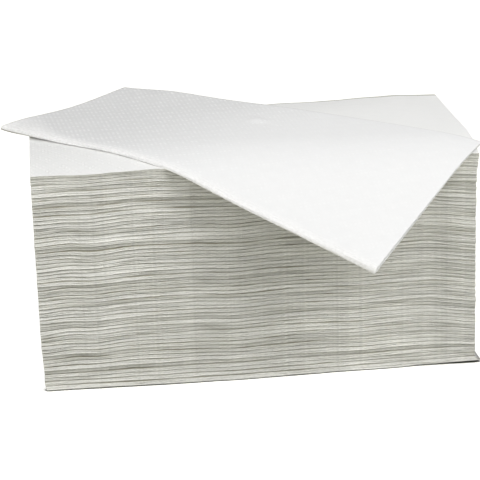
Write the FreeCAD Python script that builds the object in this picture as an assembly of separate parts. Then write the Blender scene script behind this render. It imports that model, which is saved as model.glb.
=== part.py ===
import FreeCAD
import Part
import math
import os

# A stack of interfolded paper hand towels, with one more towel lying askew on top of it.
#
# Millimetres.  X runs along the folds, -Y is the front, +Z is up.  The origin is the middle
# of the stack's footprint, on the surface that it stands on.
#
# Every towel is one sheet with a single fold: two panels joined by a rounded fold.  In the stack
# the folds face the front and the back in turn.  Each fold wraps round one panel of the towel
# above it and one of the towel below it, so pulling a towel out brings the next one with it.

# Driving dimensions of the stack.
TOWEL_LENGTH = 240.0        # along the fold
STACK_DEPTH = 115.0         # from the front folds to the back folds
PANEL = 0.532               # one panel, with the air that its embossing holds
TOWELS = 116                # even: the top towel's fold is at the front, the bottom one's at the back
CREASE = 0.25               # bevel inside a fold, where it turns round the panels that it wraps
MOST_CREASE = 0.95          # of half the hollow in a fold, which a larger bevel is held to
EDGE_CLEARANCE = 0.5        # from a free edge to the start of the fold that wraps round it
BOTTOM_SHIFT = 3.5          # how far the bottom towel has slipped along the stack

# Driving dimensions of the loose towel.
LOOSE_DEPTH = 117.0         # from its fold to its free edges; folded again by hand, so a bit deeper
LOOSE_TURN = -39.1          # degrees about Z, from the stack's length to its own
LOOSE_CORNER = (-135.5, 11.4)   # the left end of its fold, seen from above
FOLD_GAP = 0.85             # between its panels, beside the fold
EDGE_GAP = 0.15             # between its panels, at the free edges
DROOP_RADIUS = 60.0         # of its underside, where it bends down past the stack's front
DROOP_ANGLE = 33.0          # degrees below level that the bend ends at
BEND_STEPS = 6              # flat steps that the bend is made of
FOLD_STEPS = 6              # flat steps that its fold is made of

# The panels of the stack lie in slots, counted from the top.
SLOTS = 2 * TOWELS
STACK_HEIGHT = SLOTS * PANEL
FREE_EDGE = STACK_DEPTH / 2 - 2 * PANEL - EDGE_CLEARANCE


def slot_top(slot):
    """Height of the upper face of the panel in a slot."""
    return STACK_HEIGHT - (slot - 1) * PANEL


def upper_slot(towel):
    """Slot of a towel's upper panel, which lies inside the fold of the towel above it."""
    return max(2 * towel - 2, 1)


def lower_slot(towel):
    """Slot of a towel's lower panel, which lies inside the fold of the towel below it."""
    return min(2 * towel + 1, SLOTS)


def folded_towel(towel):
    """One towel of the stack, counted from the top: its section, drawn out along the fold."""
    top = slot_top(upper_slot(towel))
    bottom = slot_top(lower_slot(towel)) - PANEL
    middle = (top + bottom) / 2
    outer = (top - bottom) / 2
    inner = outer - PANEL
    bevel = min(CREASE, MOST_CREASE * inner)
    turn = STACK_DEPTH / 2 - outer
    side = -1 if towel % 2 else 1
    start = -TOWEL_LENGTH / 2
    if towel == TOWELS:
        start += BOTTOM_SHIFT

    def at(reach, rise):
        return FreeCAD.Vector(start, side * reach, middle + rise)

    upper_half = [
        (turn + inner, inner - bevel),
        (turn + inner - bevel, inner),
        (-FREE_EDGE, inner),
        (-FREE_EDGE, outer),
        (turn, outer),
    ]
    lower_half = [(reach, -rise) for reach, rise in reversed(upper_half)]
    open_outline = Part.makePolygon([at(*corner) for corner in lower_half + upper_half])
    nose = Part.Arc(at(turn, outer), at(turn + outer, 0.0), at(turn, -outer)).toShape()
    section = Part.Face(Part.Wire(open_outline.Edges + [nose]))
    return section.extrude(FreeCAD.Vector(TOWEL_LENGTH, 0, 0))


def loose_lines():
    """Outer and inner outline of the loose towel's section, as matching (v, height) corners.

    v counts from the fold, height from the underside.  Both outlines run from the free edge of
    the lower panel, round the fold, to the free edge of the upper panel.
    """
    inner = FOLD_GAP / 2
    outer = inner + PANEL
    angles = [math.pi * (step / FOLD_STEPS - 0.5) for step in range(FOLD_STEPS + 1)]

    def outline(radius, lower, upper):
        turned = [
            (outer - radius * math.cos(angle), outer + radius * math.sin(angle))
            for angle in angles
        ]
        return [(LOOSE_DEPTH, lower)] + turned + [(LOOSE_DEPTH, upper)]

    closed = PANEL + EDGE_GAP
    return outline(outer, 0.0, closed + PANEL), outline(inner, PANEL, closed)


def flat_faces():
    """The loose towel before it bends: every face of its drawn-out section, in (u, v, height)."""
    outer, inner = loose_lines()
    faces = []
    ring = outer + inner[::-1]
    for one, other in zip(ring, ring[1:] + ring[:1]):
        faces.append([(0.0, *one), (TOWEL_LENGTH, *one), (TOWEL_LENGTH, *other), (0.0, *other)])
    for u in (0.0, TOWEL_LENGTH):
        for step in range(len(outer) - 1):
            corners = (outer[step], outer[step + 1], inner[step + 1], inner[step])
            faces.append([(u, *corner) for corner in corners])
    return faces


def placed(u, v):
    """Where a point of the flat towel lies, seen from above."""
    turn = math.radians(LOOSE_TURN)
    x = LOOSE_CORNER[0] + u * math.cos(turn) - v * math.sin(turn)
    y = LOOSE_CORNER[1] + u * math.sin(turn) + v * math.cos(turn)
    return x, y


def split(face, y):
    """The parts of a flat face behind and in front of a bend line along X; one may be empty."""
    behind = []
    front = []
    for point, following in zip(face, face[1:] + face[:1]):
        here = placed(*point[:2])[1] - y
        there = placed(*following[:2])[1] - y
        if here >= 0:
            behind.append(point)
        else:
            front.append(point)
        if here * there < 0:
            share = here / (here - there)
            crossing = tuple(a + (b - a) * share for a, b in zip(point, following))
            behind.append(crossing)
            front.append(crossing)
    return behind, front


def bent(u, v, height):
    """The same point once the towel lies on the stack and hangs down past its front."""
    x, y = placed(u, v)
    past = max(-y - STACK_DEPTH / 2, 0.0)
    slope = min(past / DROOP_RADIUS, math.radians(DROOP_ANGLE))
    straight = past - slope * DROOP_RADIUS
    level = max(y, -STACK_DEPTH / 2)
    reach = (DROOP_RADIUS + height) * math.sin(slope) + straight * math.cos(slope)
    drop = DROOP_RADIUS * (1 - math.cos(slope)) + straight * math.sin(slope)
    return FreeCAD.Vector(x, level - reach, STACK_HEIGHT - drop + height * math.cos(slope))


def loose_towel():
    """The towel on top: its flat faces cut along the bend lines, bent and closed to a solid."""
    pieces = flat_faces()
    bend_length = DROOP_RADIUS * math.radians(DROOP_ANGLE)
    for step in range(BEND_STEPS + 1):
        line = -STACK_DEPTH / 2 - bend_length * step / BEND_STEPS
        pieces = [part for piece in pieces for part in split(piece, line) if part]
    faces = []
    for piece in pieces:
        corners = [bent(*point) for point in piece]
        for second, third in zip(corners[1:], corners[2:]):
            faces.append(Part.Face(Part.makePolygon([corners[0], second, third, corners[0]])))
    shell = Part.makeShell(faces)
    shell.sewShape()
    solid = Part.makeSolid(shell)
    if solid.Volume < 0:
        solid.reverse()
    return solid


def save(name, shape):
    shape.exportStep(os.path.join("parts", name + ".step"))


os.makedirs("parts", exist_ok=True)
save("loose_towel", loose_towel())
save("top_towel", folded_towel(1))
for pair, towel in enumerate(range(2, TOWELS, 2), start=1):
    both = [folded_towel(towel), folded_towel(towel + 1)]
    save("towel_pair_%02d" % pair, Part.makeCompound(both))
save("bottom_towel", folded_towel(TOWELS))
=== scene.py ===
import math

import bpy
import numpy as np
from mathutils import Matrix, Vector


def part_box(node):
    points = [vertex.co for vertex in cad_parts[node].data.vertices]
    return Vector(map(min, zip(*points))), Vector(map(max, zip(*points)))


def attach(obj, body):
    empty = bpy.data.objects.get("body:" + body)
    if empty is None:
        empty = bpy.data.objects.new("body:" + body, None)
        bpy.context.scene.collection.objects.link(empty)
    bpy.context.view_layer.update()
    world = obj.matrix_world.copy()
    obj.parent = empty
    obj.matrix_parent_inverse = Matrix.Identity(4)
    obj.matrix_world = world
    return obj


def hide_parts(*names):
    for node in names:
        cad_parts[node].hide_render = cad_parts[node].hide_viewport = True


# A stack of interfolded paper hand towels with one more towel lying askew on top of it.
# Metres.  X runs along the folds, -Y is the front, +Z is up, as in the CAD frame.

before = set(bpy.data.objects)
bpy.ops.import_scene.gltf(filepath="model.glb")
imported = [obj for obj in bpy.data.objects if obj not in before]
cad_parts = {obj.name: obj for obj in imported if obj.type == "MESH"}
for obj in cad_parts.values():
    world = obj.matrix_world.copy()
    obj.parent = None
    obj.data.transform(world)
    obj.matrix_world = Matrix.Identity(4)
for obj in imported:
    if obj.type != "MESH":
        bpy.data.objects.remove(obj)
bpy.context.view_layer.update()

MM = 0.001
SHARP = math.radians(50)              # edges that turn further than this are shaded as corners

# Sizes of the stack, read from the CAD nodes.
pair_low, pair_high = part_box("towel_pair_01")
TOWEL_LENGTH = pair_high.x - pair_low.x
STACK_DEPTH = pair_high.y - pair_low.y
STACK_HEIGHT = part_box("top_towel")[1].z
PAIRS = sum(name.startswith("towel_pair_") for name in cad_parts)
TOWELS = 2 * PAIRS + 2
SLOTS = 2 * TOWELS                    # each holds one panel
PANEL = STACK_HEIGHT / SLOTS
BOTTOM_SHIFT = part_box("bottom_towel")[0].x - pair_low.x
FACE = STACK_DEPTH / 2                # from the stack's middle to its front or its back

# The section of a packed towel.
SKIN = 0.9 * PANEL                    # thickness of one panel, without the air beside it
EDGE_CLEARANCE = 0.5 * MM             # from a free edge to the fold round it
FREE_EDGE = FACE - 2 * PANEL - EDGE_CLEARANCE
CREASE = 0.25 * MM                    # bevel inside a fold
MOST_CREASE = 0.9                     # of half the hollow in a fold, which the bevel is held to
PANEL_BREAKS = (-48 * MM, -38 * MM, -26 * MM, 20 * MM)    # where all panels bend under the crown
NOSE_STEPS = 10                       # flat steps round a fold
PRESSED = (2.1, 3.6)                  # how square neighbours press a fold; 2 is round
TOP_PRESSED = 7.0                     # the same of the top fold, which is a crisp step
STATIONS = 109                        # sections along each packed towel
CUT_EDGE = 1.6 * MM                   # the step in which an open cut edge thins out and is painted with shade
# The open edge on top of the stack: steps in from it, and the share of SKIN lost there.
THINNED = ((3, 0.0), (2, 0.1), (0, 0.4))

# How each packed towel differs from its neighbours.
STANDS_OUT = (-1.0, 0.4)              # least and most millimetres that a fold stands out
LEAN = (-0.4, 0.4)                    # least and most millimetres that its top leans out
SEEDS = (0.0, 500.0)
# The front folds that show most have a chosen place: the top two and the lowest.
FRONT_FOLDS = {1: 0.2 * MM, 3: -0.3 * MM, TOWELS - 1: 0.5 * MM}
TOP_LEAN = 0.35 * MM
TOP_OPEN_EDGE = 0.5                   # how much painted shade the open edge on top of the stack gets

# The shape that all layers of the stack share.
SLIP = (0.5 * MM, 1.8 * MM)           # heights between which the bottom towel's slip fades out
CREST = 0.27                          # share of the depth, from the front, where it is plumpest
# Dips of the layers: place along the stack, depth, width.
DENTS = (
    (-90 * MM, 1.3 * MM, 13 * MM),
    (-12 * MM, 1.15 * MM, 16 * MM),
    (52 * MM, 0.7 * MM, 13 * MM),
)
# Uneven packing: size of its bumps along, across and up the stack, channel of noise, lift.
PACKING = (
    ((45 * MM, 90 * MM, 6 * MM), 0.0, 0.9 * MM),
    ((28 * MM, 60 * MM, 2.3 * MM), 3.0, 0.26 * MM),
    ((12 * MM, 30 * MM, 2 * MM), 5.0, 0.2 * MM),
)

# The loose towel, in the space of its CAD solid.  Flat, it has u along its fold and v across it,
# from the fold to its free edges.
loose_low, loose_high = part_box("loose_towel")
LOOSE_DEPTH = 117 * MM
LOOSE_TURN = math.radians(-39.1)
LOOSE_CORNER_Y = loose_high.y - LOOSE_DEPTH * math.cos(LOOSE_TURN)
LOOSE_SKIN = 0.42 * MM
LOOSE_EDGE_GAP = 0.12 * MM            # between its panels, at the free edges
LOOSE_EDGE_LOSS = 0.75                # share of LOOSE_SKIN that its upper free edge thins by
SHUT_FOLD = 0.6 * MM                  # between its panels beside the fold, where that is shut
GAPING_FOLD = 2.1 * MM                # and where it gapes
GAPE_LENGTH = 70 * MM                 # of the part at its right end where the fold gapes
LEFT_GAPE = (0.7, 26 * MM)            # share of that gape at its left end, and how soon it closes
LOOSE_STATIONS = 161                  # sections along its fold
LOOSE_FOLD_STEPS = 12
LOWER_STEPS = 39
UPPER_STEPS = 59
# Its upper panel puffs up behind the fold: width of the puff, rise, and how much more at the left.
FOLD_PUFF = (13 * MM, 0.6 * MM, 0.9 * MM)
# It also has a small blister: place along u and v, spread along u and v, rise.
BLISTER = (115 * MM, 85 * MM, 5.5 * MM, 4 * MM, 1.5 * MM)

# How it lies: level on the crown, and bent down past a line near its front and one at its back.
LIE_TURN = -0.026                     # radians about Z, from the stack's length to those lines
LIE_HEIGHT = 4.88 * MM                # of its level part over the flat stack's top
FRONT_BEND = (29.2 * MM, 92.8 * MM, 0.5188)    # start, radius, angle that it ends at
BACK_BEND = (26.3 * MM, 46.5 * MM, 0.0304)
CURL_WAY = (-0.983, 0.184)            # the way out from the stack's middle in which it curls up,
CURL_START = 100.9 * MM               # how far out that starts,
CURL = 2.7                            # and its rise over the square of the distance past there

# Its swells in millimetres: place along u and v, spread along u and v, rise.
SWELLS = (
    (0, 72, 50, 42, -1.6),       # its left short edge sags between the stack and the back corner
    (0, 117, 14, 14, -0.1),      # the back corner droops
    (35, 117, 22, 20, 0.9),      # its back edge rises beside that corner
    (75, 117, 20, 25, -0.1),     # and dips onto the stack's back edge
    (0, 0, 14, 12, -0.9),        # the left end of its fold hangs a little
    (26, 0, 18, 12, 0.6),        # and it stands off the stack's left edge
    (90, 2, 34, 14, 0.5),        # its fold stays round where it lies on the stack's front edge
    (116, 0, 20, 14, 0.95),      # and rides over that edge just past it
    (160, 0, 45, 20, -0.4),      # the part past the stack's front hangs a little too
)

DOT_PITCH = 3.48 * MM                 # of the embossed dots, along and across the sheet


# ---------------------------------------------------------------- node trees written as sums

class Value:
    """A node socket that takes part in sums as a number does."""

    def __init__(self, graph, socket):
        self.graph = graph
        self.socket = socket

    def do(self, operation, *others):
        return self.graph.math(operation, self, *others)

    def __add__(self, other):
        return self.do("ADD", other)

    def __sub__(self, other):
        return self.do("SUBTRACT", other)

    def __mul__(self, other):
        return self.do("MULTIPLY", other)

    def __truediv__(self, other):
        return self.do("DIVIDE", other)

    def __rsub__(self, other):
        return self.graph.math("SUBTRACT", other, self)

    __radd__ = __add__


class Graph:
    """A node tree, with short ways to add and join its nodes."""

    def __init__(self, tree):
        self.tree = tree

    def feed(self, socket, value):
        if isinstance(value, Value):
            value = value.socket
        if isinstance(value, bpy.types.NodeSocket):
            self.tree.links.new(value, socket)
        else:
            socket.default_value = value

    def node(self, kind, inputs=(), **settings):
        made = self.tree.nodes.new(kind)
        for name, value in settings.items():
            setattr(made, name, value)
        for name, value in dict(inputs).items():
            self.feed(made.inputs[name], value)
        return made

    def math(self, operation, *terms):
        made = self.node("ShaderNodeMath", operation=operation)
        for socket, term in zip(made.inputs, terms):
            self.feed(socket, term)
        return Value(self, made.outputs[0])

    def split(self, vector):
        made = self.node("ShaderNodeSeparateXYZ", {0: vector})
        return [Value(self, socket) for socket in made.outputs]

    def join(self, x=0.0, y=0.0, z=0.0):
        return self.node("ShaderNodeCombineXYZ", {0: x, 1: y, 2: z}).outputs[0]

    def ramp(self, value, start, end, low=0.0, high=1.0, kind="SMOOTHSTEP"):
        """low where value is at start or before it, high at end or past it."""
        terms = {"Value": value, "From Min": start, "From Max": end, "To Min": low, "To Max": high}
        made = self.node("ShaderNodeMapRange", terms, interpolation_type=kind)
        return Value(self, made.outputs[0])

    def noise(self, vector, detail=1.0, roughness=0.5):
        """Smooth noise about zero, from -1 to 1, one bump to each unit."""
        terms = {"Vector": vector, "Scale": 1.0, "Detail": detail, "Roughness": roughness}
        made = self.node("ShaderNodeTexNoise", terms)
        return Value(self, made.outputs[0]) * 2.0 - 1.0

    def bump_of(self, value, middle, width):
        """A smooth hill of height 1 about middle."""
        away = (value - middle) / width
        return self.math("EXPONENT", away * away * -1.0)

    def store(self, geometry, name, value, data_type="FLOAT", domain="POINT"):
        """The geometry with a named attribute on it."""
        terms = {"Geometry": geometry, "Name": name, "Value": value}
        settings = {"data_type": data_type, "domain": domain}
        return self.node("GeometryNodeStoreNamedAttribute", terms, **settings).outputs[0]

    def attribute(self, name, output="Fac"):
        """A shader's reading of a named attribute."""
        return Value(self, self.node("ShaderNodeAttribute", attribute_name=name).outputs[output])

    def object_place(self):
        """A shader's x, y and z on the object."""
        return self.split(self.node("ShaderNodeTexCoord").outputs["Object"])

    def blend(self, share, under, over):
        """The colour under where share is 0, over where it is 1."""
        made = self.node("ShaderNodeMix", data_type="RGBA")
        for socket, value in ((0, share), (6, under), (7, over)):
            self.feed(made.inputs[socket], (*value, 1.0) if isinstance(value, tuple) else value)
        return made.outputs[2]

    def seen_directly(self):
        """1 where the camera sees a surface or the sky itself, in a mirror or through glass."""
        seen = self.node("ShaderNodeLightPath").outputs
        camera_or_mirror = self.math(
            "MAXIMUM", Value(self, seen["Is Camera Ray"]), Value(self, seen["Is Glossy Ray"])
        )
        return self.math("MAXIMUM", camera_or_mirror, Value(self, seen["Is Transmission Ray"]))


def emptied_graph(owner):
    """The node tree of a new material or world, without its first nodes."""
    owner.use_nodes = True
    owner.node_tree.nodes.clear()
    return Graph(owner.node_tree)


def put_in_scene(name, data):
    """A new object in the scene that holds a mesh, a curve, a lamp or a camera."""
    made = bpy.data.objects.new(name, data)
    bpy.context.scene.collection.objects.link(made)
    return made


# ---------------------------------------------------------------- shape of the stack

def layer_wave(graph, x, z):
    """How far the layers rise and dip along the stack: the same for all, less near the floor."""
    evenness = graph.ramp(z, 0.0, 26 * MM) * graph.ramp(z, 80 * MM, STACK_HEIGHT, 1.0, 0.35)
    wave = graph.ramp(x, -121 * MM, -100 * MM, 0.0, 1.45 * MM)
    wave = wave - graph.ramp(x, 90 * MM, 130 * MM, 0.0, 4.5 * MM)
    for middle, depth, width in DENTS:
        wave = wave - graph.bump_of(x, middle, width) * depth
    return wave * evenness


def crown(graph, x, y, z):
    """The stack is plump behind its front edge, but less where the loose towel presses it down."""
    share = (y + FACE) / STACK_DEPTH
    to_front = 1.0 - graph.math("MINIMUM", share / CREST, 1.0)
    to_back = graph.math("MAXIMUM", (share - CREST) / (1.0 - CREST), 0.0)
    level = graph.math("MAXIMUM", z / STACK_HEIGHT, 0.0)
    rounded = 1.0 - to_front * to_front
    plump = rounded * (1.0 - to_back * to_back * to_back)
    plump = plump * graph.ramp(x, 60 * MM, 120 * MM, 4.0 * MM, 2.0 * MM)
    # The right end is plumpest nearer the front, and its back stays up.
    shoulder = graph.bump_of(share, 0.2, 0.25) * rounded
    shoulder = shoulder * graph.ramp(x, 75 * MM, 118 * MM, 0.0, 1.9 * MM)
    sag = to_back * to_back * graph.ramp(x, 20 * MM, 122 * MM, 1.55 * MM, -0.95 * MM, "LINEAR")
    # The loose towel presses the top down from its fold on, towards the front.
    behind_fold = (x - loose_low.x) * math.sin(-LOOSE_TURN)
    behind_fold = behind_fold + (y - LOOSE_CORNER_Y) * math.cos(LOOSE_TURN)
    pressed = graph.ramp(behind_fold, -3 * MM, 8 * MM)
    pressed = pressed * graph.ramp(y, -15 * MM, 30 * MM, 1.3 * MM, 0.0)
    pressed = pressed * graph.ramp(x, -84 * MM, -62 * MM)
    pressed = pressed * graph.ramp(x, 90 * MM, 112 * MM, 1.0, 0.0)
    # Left of that, where it doesn't press, the top comes up to meet it.
    resting = graph.bump_of(x, -92 * MM, 20 * MM)
    resting = resting * graph.ramp(y, -57 * MM, -45 * MM, 0.0, 0.4 * MM)
    resting = resting * graph.ramp(y, -20 * MM, 5 * MM, 1.0, 0.0)
    # The crown goes deep into the stack, and the press only into its top.
    deep, shallow = (graph.math("POWER", level, power) for power in (1.3, 6.0))
    return (plump + shoulder - sag + resting) * deep - pressed * shallow


def floor_ease(graph, z):
    """0 on the floor, where the layers lie flat, and 1 from a few millimetres above it."""
    return graph.ramp(z, 0.0, 8 * MM)


def shared_noise(graph, place, bump, channel):
    """Noise with bumps of this size, one field for all layers, which move together in it."""
    along, across, up = (part / size for part, size in zip(place, bump))
    return graph.noise(graph.join(along, across + channel, up))


def layer_lift(graph, place):
    """How far the layers lie above their flat places."""
    x, y, z = place
    packing = sum(
        shared_noise(graph, place, bump, channel) * amount for bump, channel, amount in PACKING
    )
    lift = layer_wave(graph, x, z) + crown(graph, x, y, z) + packing * floor_ease(graph, z)
    # The right end of the foot curls up off the floor.
    curl = graph.ramp(x, 86 * MM, 120 * MM, 0.0, 0.9 * MM) * graph.ramp(z, 0.0, 25 * MM, 1.0, 0.0)
    # The lowest front fold sags onto the floor, in front of the bottom towel's free edges.
    lowest = graph.ramp(z, 0.5 * MM, 3 * MM, 1.0, 0.0) * graph.ramp(z, 0.4 * MM, 0.5 * MM)
    return lift + curl - lowest * graph.ramp(y, -57 * MM, -56.4 * MM, 0.42 * MM, 0.0)


def layer_slip(graph, place):
    """How far the layers have slipped along the stack."""
    x, y, z = place
    # The lowest ones have slipped with the bottom towel, less at the left and behind the front.
    slip = graph.ramp(z, *SLIP, BOTTOM_SHIFT, 0.0, "LINEAR")
    slip = slip * graph.ramp(x, -120 * MM, 0.0, 0.6, 1.0)
    slip = slip * graph.ramp(y, -57 * MM, -48 * MM, 1.0, 0.25)
    above = graph.ramp(z, *SLIP)
    # The right end leans in on its way up, and stands out again at its top front corner.
    right_end = graph.ramp(z, 5 * MM, 90 * MM, 0.4 * MM, -0.5 * MM, "LINEAR") * above
    top_end = graph.ramp(z, 112 * MM, STACK_HEIGHT - 2 * MM, 0.0, 1.0 * MM)
    right_end = right_end + top_end * graph.ramp(y, -25 * MM, 50 * MM, 1.0, 0.0)
    slip = slip + graph.ramp(x, 60 * MM, 120 * MM) * right_end
    # The left end is tucked in near the floor.
    left_end = graph.ramp(z, 6 * MM, 30 * MM, 0.85 * MM, 0.0) * above
    return slip + graph.ramp(x, -120 * MM, -60 * MM, 1.0, 0.0) * left_end


def swept_section(graph, given):
    """The section carried along the stack, and the length round it of each of its corners."""
    length_round = graph.node("GeometryNodeSplineParameter").outputs["Length"]
    section = graph.store(given["Section"], "around", length_round)
    start, length = (Value(graph, given[name]) for name in ("Start", "Length"))
    line = graph.node(
        "GeometryNodeCurvePrimitiveLine",
        {"Start": graph.join(start), "End": graph.join(start + length)},
    )
    stations = graph.node(
        "GeometryNodeResampleCurve", {"Curve": line.outputs[0], "Count": given["Stations"]}
    )
    swept = graph.node(
        "GeometryNodeCurveToMesh",
        {"Curve": stations.outputs[0], "Profile Curve": section, "Fill Caps": True},
    )
    around = graph.node("GeometryNodeInputNamedAttribute", {"Name": "around"}, data_type="FLOAT")
    return swept.outputs[0], around.outputs[0]


class TowelPoint:
    """A point of a packed towel, as the towel's tree sees it before it moves."""

    def __init__(self, graph, given):
        self.graph = graph
        self.given = given
        self.place = graph.split(graph.node("GeometryNodeInputPosition").outputs[0])
        self.x, self.y, self.z = self.place
        self.towards_fold = self.y * self.value("Fold Side")
        # Whether it is near the fold and on the fold's nose, and how high there, from -1 to 1.
        self.at_fold = graph.ramp(self.towards_fold, FACE - 4 * MM, FACE - 1 * MM)
        self.on_nose = graph.ramp(self.towards_fold, FACE - 1.2 * MM, FACE - 0.4 * MM)
        self.height = (self.z - self.value("Middle")) / self.value("Half Height")
        # The rim of the top fold gets neither the grooves' painted shade nor the fold's painted
        # colour.
        rim = (STACK_HEIGHT - 0.2 * MM, STACK_HEIGHT - 0.05 * MM)
        self.under_rim = graph.ramp(self.z, *rim, 1.0, 0.0)

    def value(self, name):
        return Value(self.graph, self.given[name])

    def own_noise(self, bump, channel):
        """Noise along this towel's fold, with bumps of this length; each channel differs."""
        return self.graph.noise(self.graph.join(self.x / bump, self.value("Seed"), channel))

    def painted_shade(self):
        """Painted shade: in the grooves between folds, here more than there, and on an open cut
        edge.
        """
        graph = self.graph
        # Painted shade in the grooves between folds, stronger in some than in others.
        painted_shade = graph.ramp(graph.math("ABSOLUTE", self.height), 0.72, 1.0)
        painted_shade = painted_shade * self.at_fold * self.under_rim
        painted_shade = painted_shade * graph.ramp(self.own_noise(24 * MM, 51.0), -0.5, 0.3, 0.45, 1.0)
        painted_shade = painted_shade * graph.ramp(self.x, 20 * MM, 90 * MM, 1.0, 0.8)
        # Painted shade on the open cut edge, which turns away from the light.
        darkened = (2 * CUT_EDGE - FREE_EDGE, 3 * CUT_EDGE - FREE_EDGE)
        cut_edge = graph.ramp(self.towards_fold, *darkened, 1.0, 0.0) * self.value("Open Edge")
        return graph.math("MAXIMUM", painted_shade, cut_edge)

    def out(self):
        """How far it stands out to the front or the back."""
        graph = self.graph
        # Both sides of the stack are uneven and bulge at the foot.
        near_face = graph.ramp(graph.math("ABSOLUTE", self.y), FACE - 10 * MM, FACE - 1 * MM)
        bulges = shared_noise(graph, self.place, (60 * MM, 60 * MM, 9 * MM), 7.0)
        foot = graph.ramp(self.z, 0.0, 12 * MM, 2.2 * MM, 0.0)
        foot = foot * graph.bump_of(self.x, -30 * MM, 80 * MM)
        out = (bulges * (0.8 * MM) + foot) * near_face
        # Each fold stands out or sits back, leans and creases in its own way.
        own_out = self.value("Fold Stands Out") + self.own_noise(30 * MM, 3.0) * (0.8 * MM)
        out = out + (own_out + self.own_noise(5 * MM, 11.0) * (0.3 * MM)) * self.at_fold
        lean = self.value("Lean") + self.own_noise(32 * MM, 17.0) * (0.7 * MM)
        depth = graph.ramp(self.own_noise(26 * MM, 43.0), -0.5, 0.3, 0.0, 0.8 * MM)
        depth = depth * graph.ramp(self.x, 20 * MM, 90 * MM, 1.0, 1.4)
        crease = graph.bump_of(self.height, self.own_noise(20 * MM, 41.0) * 0.8, 0.2) * depth
        return out + (lean * self.height - crease) * self.on_nose

    def offset(self):
        """How far it moves along, out and up."""
        graph, seed = self.graph, self.value("Seed")
        own_slip = graph.noise(graph.join(0.5, seed, 29.0)) * (0.45 * MM)
        crinkle = graph.noise(graph.join(self.x / (5 * MM), seed, self.z / (1.5 * MM)))
        crinkle = crinkle * self.at_fold * floor_ease(graph, self.z) * (0.18 * MM)
        return graph.join(
            own_slip + layer_slip(graph, self.place),
            graph.math("SIGN", self.y) * self.out(),
            layer_lift(graph, self.place) + crinkle,
        )


def towel_tree():
    """Geometry Nodes tree of one packed towel: its section swept along the stack and unevened."""
    tree = bpy.data.node_groups.new("packed towel", "GeometryNodeTree")
    for name, kind in (
        ("Section", "NodeSocketGeometry"),
        ("Start", "NodeSocketFloat"),
        ("Length", "NodeSocketFloat"),
        ("Stations", "NodeSocketInt"),
        ("Fold Side", "NodeSocketFloat"),
        ("Fold Stands Out", "NodeSocketFloat"),
        ("Lean", "NodeSocketFloat"),
        ("Middle", "NodeSocketFloat"),
        ("Half Height", "NodeSocketFloat"),
        ("Open Edge", "NodeSocketFloat"),
        ("Seed", "NodeSocketFloat"),
        ("Paper", "NodeSocketMaterial"),
    ):
        tree.interface.new_socket(name, in_out="INPUT", socket_type=kind)
    tree.interface.new_socket("Towel", in_out="OUTPUT", socket_type="NodeSocketGeometry")
    graph = Graph(tree)
    given = graph.node("NodeGroupInput").outputs
    point = TowelPoint(graph, given)
    towel, around = swept_section(graph, given)
    flat_place = graph.join(point.x - point.value("Start"), around)
    towel = graph.store(towel, "sheet", flat_place, data_type="FLOAT2", domain="CORNER")
    # The fold mark takes the paper's fold colour, painted shade that darkens and warms the packed
    # folds, and their crinkles.
    towel = graph.store(towel, "fold", point.on_nose * point.under_rim)
    # Painted shade in the grooves between folds and on the open cut edge.
    towel = graph.store(towel, "painted_shade", point.painted_shade())
    towel = graph.store(towel, "tone", point.own_noise(45 * MM, 61.0))
    moved = graph.node("GeometryNodeSetPosition", {"Geometry": towel, "Offset": point.offset()})
    realized = graph.node("GeometryNodeRealizeInstances", {0: moved.outputs[0]})
    dressed = graph.node(
        "GeometryNodeSetMaterial", {"Geometry": realized.outputs[0], "Material": given["Paper"]}
    )
    graph.node("NodeGroupOutput", {0: dressed.outputs[0]})
    return tree


def towel_span(towel):
    """A packed towel's middle height, half height and fold side; towels count from the top."""
    upper_slot = max(2 * towel - 2, 1)
    lower_slot = min(2 * towel + 1, SLOTS)
    top = STACK_HEIGHT - (upper_slot - 1) * PANEL
    bottom = STACK_HEIGHT - lower_slot * PANEL
    return (top + bottom) / 2, (top - bottom) / 2, -1 if towel % 2 else 1


def fold_outline(turn, outer, pressed):
    """Corners of a fold that its neighbours press flat, from its lower to its upper side."""
    corners = []
    for step in range(NOSE_STEPS + 1):
        rise = math.sin(math.pi * (step / NOSE_STEPS - 0.5))
        reach = (1 - abs(rise) ** pressed) ** (1 / pressed)
        corners.append((turn + outer * reach, outer * rise))
    return corners


def towel_section(towel, pressed):
    """(y, z) corners of a packed towel's section.

    The towel's two panels lie in the slots that its fold spans; the section runs anticlockwise
    from the free edge of the lower panel.
    """
    middle, outer, side = towel_span(towel)
    inner = outer - SKIN
    turn = FACE - outer
    breaks = sorted(side * y for y in PANEL_BREAKS)
    crease = min(CREASE, MOST_CREASE * inner)
    lower = [(reach, -outer) for reach in [-FREE_EDGE] + breaks]
    nose = fold_outline(turn, outer, pressed)
    upper = [(reach, outer) for reach in breaks[::-1] + [-FREE_EDGE]]
    if towel == 1:
        upper.pop()
        upper += [(steps * CUT_EDGE - FREE_EDGE, outer - lost * SKIN) for steps, lost in THINNED]
    inner_upper = [(reach, inner) for reach in [-FREE_EDGE] + breaks + [turn + inner - crease]]
    hollow = [(turn + inner, inner - crease), (turn + inner, crease - inner)]
    inner_lower = [(reach, -rise) for reach, rise in inner_upper[::-1]]
    ring = lower + nose + upper + inner_upper + hollow + inner_lower
    corners = [(side * reach, middle + rise) for reach, rise in ring]
    return corners[::side]


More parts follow.
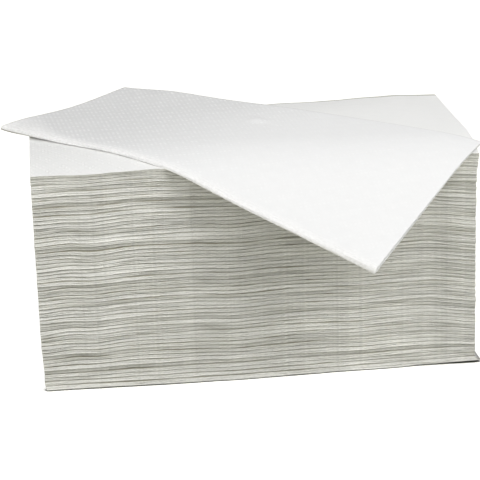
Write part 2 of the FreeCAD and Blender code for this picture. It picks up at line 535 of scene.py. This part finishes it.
def packed_towel(towel, tree, paper, random):
    """One towel of the stack as a plain mesh object."""
    pressed = float(random.uniform(*PRESSED))
    stands_out = float(random.uniform(*STANDS_OUT)) * MM
    lean = float(random.uniform(*LEAN)) * MM
    seed = float(random.uniform(*SEEDS))
    corners = towel_section(towel, TOP_PRESSED if towel == 1 else pressed)
    middle, half_height, side = towel_span(towel)
    curve = bpy.data.curves.new("section", "CURVE")
    curve.dimensions = "3D"
    outline = curve.splines.new("POLY")
    outline.points.add(len(corners) - 1)
    for point, (y, z) in zip(outline.points, corners):
        point.co = (-y, -z, 0.0, 1.0)
    outline.use_cyclic_u = True
    maker = put_in_scene("section", curve)
    modifier = maker.modifiers.new("packed towel", "NODES")
    modifier.node_group = tree
    given = {
        "Start": -TOWEL_LENGTH / 2,
        "Length": TOWEL_LENGTH,
        "Stations": STATIONS,
        "Fold Side": float(side),
        "Fold Stands Out": FRONT_FOLDS.get(towel, stands_out),
        "Lean": TOP_LEAN if towel == 1 else lean,
        "Middle": middle,
        "Half Height": half_height,
        "Open Edge": TOP_OPEN_EDGE if towel == 1 else 0.0,
        "Seed": seed,
        "Paper": paper,
    }
    for item in tree.interface.items_tree:
        if item.in_out == "INPUT" and item.name in given:
            modifier[item.identifier] = given[item.name]
    graph = bpy.context.evaluated_depsgraph_get()
    mesh = bpy.data.meshes.new_from_object(maker.evaluated_get(graph), depsgraph=graph)
    bpy.data.objects.remove(maker)
    bpy.data.curves.remove(curve)
    mesh.name = "towel_%03d" % towel
    mesh.shade_smooth()
    mesh.set_sharp_from_angle(angle=SHARP)
    return put_in_scene(mesh.name, mesh)


# ---------------------------------------------------------------- the loose towel

def hill(u, v, place_u, place_v, spread_u, spread_v):
    """A smooth hill of height 1 on the flat sheet."""
    return np.exp(-(((u - place_u) / spread_u) ** 2 + ((v - place_v) / spread_v) ** 2))


def bend(past, radius, angle):
    """How far along and down a sheet lies past the start of a bend, and how far it has turned."""
    past = np.clip(past, 0, None)
    turned = np.clip(past / radius, 0.0, angle)
    straight = np.clip(past - radius * angle, 0.0, None)
    along = radius * np.sin(turned) + straight * math.cos(angle)
    down = radius * (1 - np.cos(turned)) + straight * math.sin(angle)
    return along, down, turned


def loose_section(gap):
    """(v, rise) corners round the loose towel's section, its panels this far apart at the fold.

    v counts from the fold, rise from the middle of the fold.  The outer outline runs from the free
    edge of the lower panel, round the fold, to that of the upper panel; the inner one runs back.
    """
    inner = gap / 2
    outer = inner + LOOSE_SKIN
    angles = np.radians(np.linspace(-90, 90, LOOSE_FOLD_STEPS + 1))

    def panel(steps, start, end):
        edge = 1 - CUT_EDGE / LOOSE_DEPTH
        shares = np.append(np.linspace(0, edge, steps)[1:], 1.0)[:, None]
        return start + (np.array(end) - start) * shares

    def outline(radius, lower, upper):
        # The fold's nose lies low, as the upper panel curves down to the lower one.
        nose = radius * np.cos(angles) * (1 - 0.6 * np.sin(angles))
        turned = np.stack([outer - nose, radius * np.sin(angles)], 1)
        underside = panel(LOWER_STEPS, turned[0], (LOOSE_DEPTH, lower - outer))
        topside = panel(UPPER_STEPS, turned[-1], (LOOSE_DEPTH, upper - outer))
        return np.concatenate([underside[::-1], turned, topside])

    closed = LOOSE_SKIN + LOOSE_EDGE_GAP
    outer_line = outline(outer, 0.0, closed + LOOSE_SKIN)
    outer_line[-1, 1] -= LOOSE_EDGE_LOSS * LOOSE_SKIN
    return np.concatenate([outer_line, outline(inner, LOOSE_SKIN, closed)[::-1]])


def swells(u, v):
    """Gentle rises and hollows of the loose towel, where it isn't held flat."""
    height = np.zeros(u.shape)
    for *where, rise in SWELLS:
        height += rise * MM * hill(u, v, *(size * MM for size in where))
    return height


def puffed(u, v):
    """How much further the upper panel stands off the lower one, mostly just behind the fold."""
    width, rise, left_rise = FOLD_PUFF
    share = np.clip(v, 0, None) / width
    rise = rise + left_rise * np.exp(-((u - 25 * MM) / (50 * MM)) ** 2)
    puff = share * np.exp(1 - share) * rise
    # The left corner itself stays nearly shut.
    puff *= 1 - 0.8 * np.exp(-(u / (14 * MM)) ** 2)
    *blister, blister_rise = BLISTER
    return puff + blister_rise * hill(u, v, *blister)


def laid_on_stack(x, y, rise):
    """The flat loose towel's points, bent down past a line near its front and one at its back."""
    cos_turn, sin_turn = math.cos(LIE_TURN), math.sin(LIE_TURN)
    forward = x * sin_turn - y * cos_turn
    sideways = x * cos_turn + y * sin_turn
    front, *front_bend = FRONT_BEND
    back, *back_bend = BACK_BEND
    along_front, down_front, turned_front = bend(forward - front, *front_bend)
    along_back, down_back, turned_back = bend(-forward - back, *back_bend)
    tilt = turned_front - turned_back
    curled = np.clip(CURL_WAY[0] * x + CURL_WAY[1] * y - CURL_START, 0, None)
    height = STACK_HEIGHT + LIE_HEIGHT - down_front - down_back + CURL * curled ** 2
    laid = np.clip(forward, -back, front) + along_front - along_back + rise * np.sin(tilt)
    laid_x = sideways * cos_turn + laid * sin_turn
    laid_y = sideways * sin_turn - laid * cos_turn
    return np.stack([laid_x, laid_y, height + rise * np.cos(tilt)], -1)


def loose_faces(count):
    """Faces between the stations' rings of corners, and those that close the short edges."""
    index = np.arange(LOOSE_STATIONS * count).reshape(LOOSE_STATIONS, count)
    following = np.roll(index, -1, axis=1)
    sides = np.stack([index[:-1], index[1:], following[1:], following[:-1]], -1)
    faces = sides.reshape(-1, 4).tolist()
    # The short edges: strips between the outer and the inner outline.
    for row, order in ((0, 1), (LOOSE_STATIONS - 1, -1)):
        for step in range(count // 2 - 1):
            corners = (step, step + 1, count - 2 - step, count - 1 - step)
            faces.append([int(index[row, corner]) for corner in corners][::order])
    return faces


def loose_marks(u, v, corner, upper):
    """How much of the fold and how much painted shade the loose towel's paper has, at each corner
    of its mesh.
    """
    # The fold's crinkled, unembossed paper, painted whiter as a highlight, reaches further in at
    # its left end.
    reach = 6 * MM + 26 * MM * np.exp(-(u / (24 * MM)) ** 2)
    fold = np.clip(1 - v / reach, 0, 1)
    # The underside is in deep shade beside its fold, but not where it lies close on the stack.
    shade = np.exp(-(u / (17 * MM)) ** 2) + 0.5 * np.clip(u / (20 * MM) - 5, 0, 1)
    lowest = corner < LOWER_STEPS + np.where(u < 34 * MM, 6, 2)
    under = np.clip(1 - v / (4 * MM), 0, 1) * lowest * shade
    # Its left short edge and its free edges get painted shade on the upper panel.
    cut = np.clip(1 - np.minimum(u, LOOSE_DEPTH - v) / CUT_EDGE, 0, 1) * 0.3
    return {"fold": fold, "painted_shade": np.maximum(under, cut * upper)}


def loose_towel(paper):
    """The towel on top: a section of two panels and a fold, laid over the crown and the front."""
    stations = np.linspace(0, TOWEL_LENGTH, LOOSE_STATIONS)
    # The fold gapes at its right end, and a little at its left end.
    left_gape, left_length = LEFT_GAPE
    opening = np.clip((stations - TOWEL_LENGTH + GAPE_LENGTH) / GAPE_LENGTH, 0, 1) ** 2
    opening += left_gape * np.exp(-(stations / left_length) ** 2)
    shut = loose_section(SHUT_FOLD)
    rings = shut + opening[:, None, None] * (loose_section(GAPING_FOLD) - shut)
    count = len(shut)
    corner = np.arange(count)
    nose = LOWER_STEPS + LOOSE_FOLD_STEPS // 2
    upper = (corner > nose) & (corner < count - 1 - nose)
    u = np.repeat(stations[:, None], count, axis=1)
    v = rings[..., 0]
    rise = rings[..., 1] + puffed(u, v) * upper
    x = loose_low.x + u * math.cos(LOOSE_TURN) - v * math.sin(LOOSE_TURN)
    y = LOOSE_CORNER_Y + u * math.sin(LOOSE_TURN) + v * math.cos(LOOSE_TURN)
    points = laid_on_stack(x, y, rise)
    points[..., 2] += swells(u, v)
    mesh = bpy.data.meshes.new("loose_towel_sheet")
    mesh.from_pydata(points.reshape(-1, 3).tolist(), [], loose_faces(count))
    mesh.update()

    # The paper's pattern follows the flat sheet: along the fold, and round the section.
    around = np.concatenate([[0.0], np.cumsum(np.hypot(*np.diff(shut, axis=0).T))])
    owner = np.zeros(len(mesh.loops), np.int32)
    mesh.loops.foreach_get("vertex_index", owner)
    flat = np.stack([stations[owner // count], around[owner % count]], 1).astype(np.float32)
    mesh.uv_layers.new(name="sheet").data.foreach_set("uv", flat.ravel())
    for name, amount in loose_marks(u, v, corner, upper).items():
        mark = mesh.attributes.new(name, "FLOAT", "POINT")
        mark.data.foreach_set("value", amount.astype(np.float32).ravel())
    mesh.materials.append(paper)
    mesh.shade_smooth()
    mesh.set_sharp_from_angle(angle=SHARP)
    return put_in_scene("loose_towel_sheet", mesh)


# ---------------------------------------------------------------- paper

def embossed_dots(graph, u, v):
    """A diamond lattice of dots, each raised by its own amount, some rows more than others."""
    lattice = graph.join((u - v) / DOT_PITCH, (u + v) / DOT_PITCH)
    dots = graph.node(
        "ShaderNodeTexVoronoi",
        {"Vector": lattice, "Scale": 1.0, "Randomness": 0.05},
        voronoi_dimensions="2D",
    )
    own_height = graph.ramp(graph.split(dots.outputs["Color"])[0], 0.0, 1.0, 0.1, 1.2, "LINEAR")
    dot = graph.ramp(Value(graph, dots.outputs["Distance"]), 0.1, 0.45, 1.0, 0.0) * own_height
    rows = graph.math("SINE", (u - v) * (2 * math.pi / (3.5 * DOT_PITCH)))
    return dot * (rows * 0.7 + 1.0)


def paper_material(name, colour, fold_painted_light_colour, painted_shade_colour, dot_height, dot_painted_shade):
    """Soft white tissue, embossed with a diamond lattice of dots and crinkled at its folds, with
    light and shade painted into its colour.
    """
    material = bpy.data.materials.new(name)
    graph = emptied_graph(material)
    u, v, _ = graph.split(graph.attribute("sheet", "Vector"))
    fold, painted_shade = graph.attribute("fold"), graph.attribute("painted_shade")
    own_tone = graph.attribute("tone") * fold
    place_x, place_y, _ = graph.object_place()

    def grain(length, width, channel, detail=2.0, roughness=0.5):
        """Noise on the flat sheet, with bumps of this length along the fold and width across."""
        return graph.noise(graph.join(u / length, v / width, channel), detail, roughness)

    # The ground between the dots is pressed in and painted darker as shade, and both are pressed
    # out towards the front right.
    ground = 1.1
    pressed_out = graph.ramp(place_x - place_y, -90 * MM, 60 * MM, 1.0, 0.12)
    dot = (embossed_dots(graph, u, v) - ground) * pressed_out * (1.0 - fold)

    fibres = grain(0.7 * MM, 0.25 * MM, 1.0, detail=3.0, roughness=0.6)
    creping = grain(5 * MM, 0.45 * MM, 5.0)
    mottle = grain(6 * MM, 4 * MM, 9.0, detail=3.0)
    creases = grain(12 * MM, 0.8 * MM, 15.0) * fold
    creases = creases * graph.ramp(place_x, 20 * MM, 90 * MM, 1.0, 1.5)
    ticks = grain(1.9 * MM, 0.8 * MM, 25.0) * fold
    relief = dot * dot_height + fibres * (0.02 * MM) + creping * (0.03 * MM)
    relief = relief + creases * (0.3 * MM) + ticks * (0.12 * MM)
    bump = graph.node("ShaderNodeBump", {"Height": relief, "Strength": 0.8, "Distance": 1.0})

    # Painted light: the folds take their own colour, standing for their shade or highlight, and
    # the dark colour marks painted shade.
    tone = graph.blend(fold, colour, fold_painted_light_colour)
    tone = graph.blend(painted_shade * 0.9, tone, painted_shade_colour)
    # The dots and the pressed-in ground between them, the creases and the ticks also paint their
    # light and shade into the colour; the mottle and the towel's own tone are the paper's.
    shade = 1.0 + mottle * 0.02 + dot * dot_painted_shade + creases * 0.14 + ticks * 0.22 + own_tone * 0.25
    toned = graph.node("ShaderNodeVectorMath", {0: tone}, operation="SCALE")
    graph.feed(toned.inputs["Scale"], shade)
    surface = graph.node(
        "ShaderNodeBsdfPrincipled",
        {
            "Base Color": toned.outputs[0],
            "Roughness": 0.92,
            "Specular IOR Level": 0.2,
            "Normal": bump.outputs[0],
        },
    )
    graph.node("ShaderNodeOutputMaterial", {0: surface.outputs[0]})
    return material


# ---------------------------------------------------------------- floor, light and camera

def white_floor():
    """A pale floor that looks white to the camera and keeps the stack's shadow."""
    size = 8.0
    corners = [(-size, -size, 0), (size, -size, 0), (size, size, 0), (-size, size, 0)]
    mesh = bpy.data.meshes.new("floor")
    mesh.from_pydata(corners, [], [(0, 1, 2, 3)])
    floor = put_in_scene("floor", mesh)
    material = bpy.data.materials.new("pale floor")
    graph = emptied_graph(material)
    pale = graph.node("ShaderNodeBsdfDiffuse", {"Color": (0.63, 0.625, 0.55, 1.0)})
    painted_contact_shadow = graph.node("ShaderNodeBsdfDiffuse", {"Color": (0.12, 0.12, 0.1, 1.0)})
    # The painted shadow under the stack's edges, where ambient occlusion finds them close: crisp
    # in front of it, soft beside and behind it.
    near = graph.node("ShaderNodeAmbientOcclusion", {"Distance": 6 * MM}, samples=8)
    reached = Value(graph, near.outputs["AO"])
    crisp, soft = graph.ramp(reached, 0.48, 0.74), graph.ramp(reached, 0.1, 0.55)
    beside = graph.ramp(graph.object_place()[1], -FACE, 4 * MM - FACE)
    open_sky = crisp + (soft - crisp) * beside
    matt = graph.node("ShaderNodeMixShader", {0: open_sky, 1: painted_contact_shadow.outputs[0], 2: pale.outputs[0]})
    strength = graph.seen_directly() * open_sky * 0.82
    glow = graph.node("ShaderNodeEmission", {"Color": (1, 1, 1, 1), "Strength": strength})
    both = graph.node("ShaderNodeAddShader", {0: matt.outputs[0], 1: glow.outputs[0]})
    graph.node("ShaderNodeOutputMaterial", {0: both.outputs[0]})
    mesh.materials.append(material)


def studio_light():
    """A sky that only whitens the background, and softboxes round the stack."""
    world = bpy.data.worlds.new("studio")
    bpy.context.scene.world = world
    graph = emptied_graph(world)
    terms = {"Color": (1, 1, 1, 1), "Strength": graph.seen_directly()}
    sky = graph.node("ShaderNodeBackground", terms)
    graph.node("ShaderNodeOutputWorld", {0: sky.outputs[0]})

    aim = Vector((0, 0, 0.07))
    # Azimuth (0 is the front, 90 the right) and elevation, distance and size, power.
    for name, azimuth, elevation, distance, size, power in (
        ("right box", 40, 33, 1.6, 1.1, 11.1),
        ("left box", -53, 35, 1.6, 1.1, 10.9),
        ("front box", 0, 38, 1.6, 0.8, 0.8),
        ("top right box", 40, 58, 1.2, 0.8, 3.6),
        ("back box", 180, 55, 1.3, 0.8, 4.4),
    ):
        data = bpy.data.lights.new(name, "AREA")
        data.shape = "DISK"
        data.size = size
        data.energy = power
        box = put_in_scene(name, data)
        turn, rise = math.radians(azimuth), math.radians(elevation)
        level = math.cos(rise)
        away = Vector((level * math.sin(turn), -level * math.cos(turn), math.sin(rise)))
        box.location = away * distance + aim
        box.rotation_euler = away.to_track_quat("Z", "Y").to_euler()


def camera():
    """The camera looks down on the front from a little left of the middle."""
    data = bpy.data.cameras.new("camera")
    data.lens = 144.06
    data.sensor_width = 36
    made = put_in_scene("camera", data)
    made.location = (-0.1041, -1.0241, 0.4398)
    made.rotation_euler = [math.radians(angle) for angle in (69.716, 1.451, -6.099)]
    bpy.context.scene.camera = made


# ---------------------------------------------------------------- the object

def node_of(towel):
    """The CAD node that holds a packed towel, counted from the top."""
    if towel == 1:
        return "top_towel"
    if towel == TOWELS:
        return "bottom_towel"
    return "towel_pair_%02d" % (towel // 2)


def finish_piece(piece, node):
    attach(piece, "root")
    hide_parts(node)


bpy.context.scene.view_settings.view_transform = "Standard"
random = np.random.default_rng(7)
# The packed towels' folds are painted darker and warmer as shade, and their grooves a dark warm
# painted shade.
stack_paper = paper_material(
    "stack paper", (0.945, 0.945, 0.93), (0.785, 0.781, 0.74), (0.24, 0.225, 0.15), 0.2 * MM, 0.06
)
# The loose towel's fold is painted whiter as a highlight, and its underside and cut edges get
# painted shade.
loose_paper = paper_material(
    "loose paper", (0.93, 0.93, 0.925), (0.985, 0.98, 0.965), (0.42, 0.4, 0.36), 0.22 * MM, 0.13
)
tree = towel_tree()
flat_size = (TOWEL_LENGTH, 2 * (FACE + FREE_EDGE))
for towel in range(TOWELS, 0, -1):
    piece = packed_towel(towel, tree, stack_paper, random)
    finish_piece(piece, node_of(towel))
loose = loose_towel(loose_paper)
finish_piece(loose, "loose_towel")
white_floor()
studio_light()
camera()
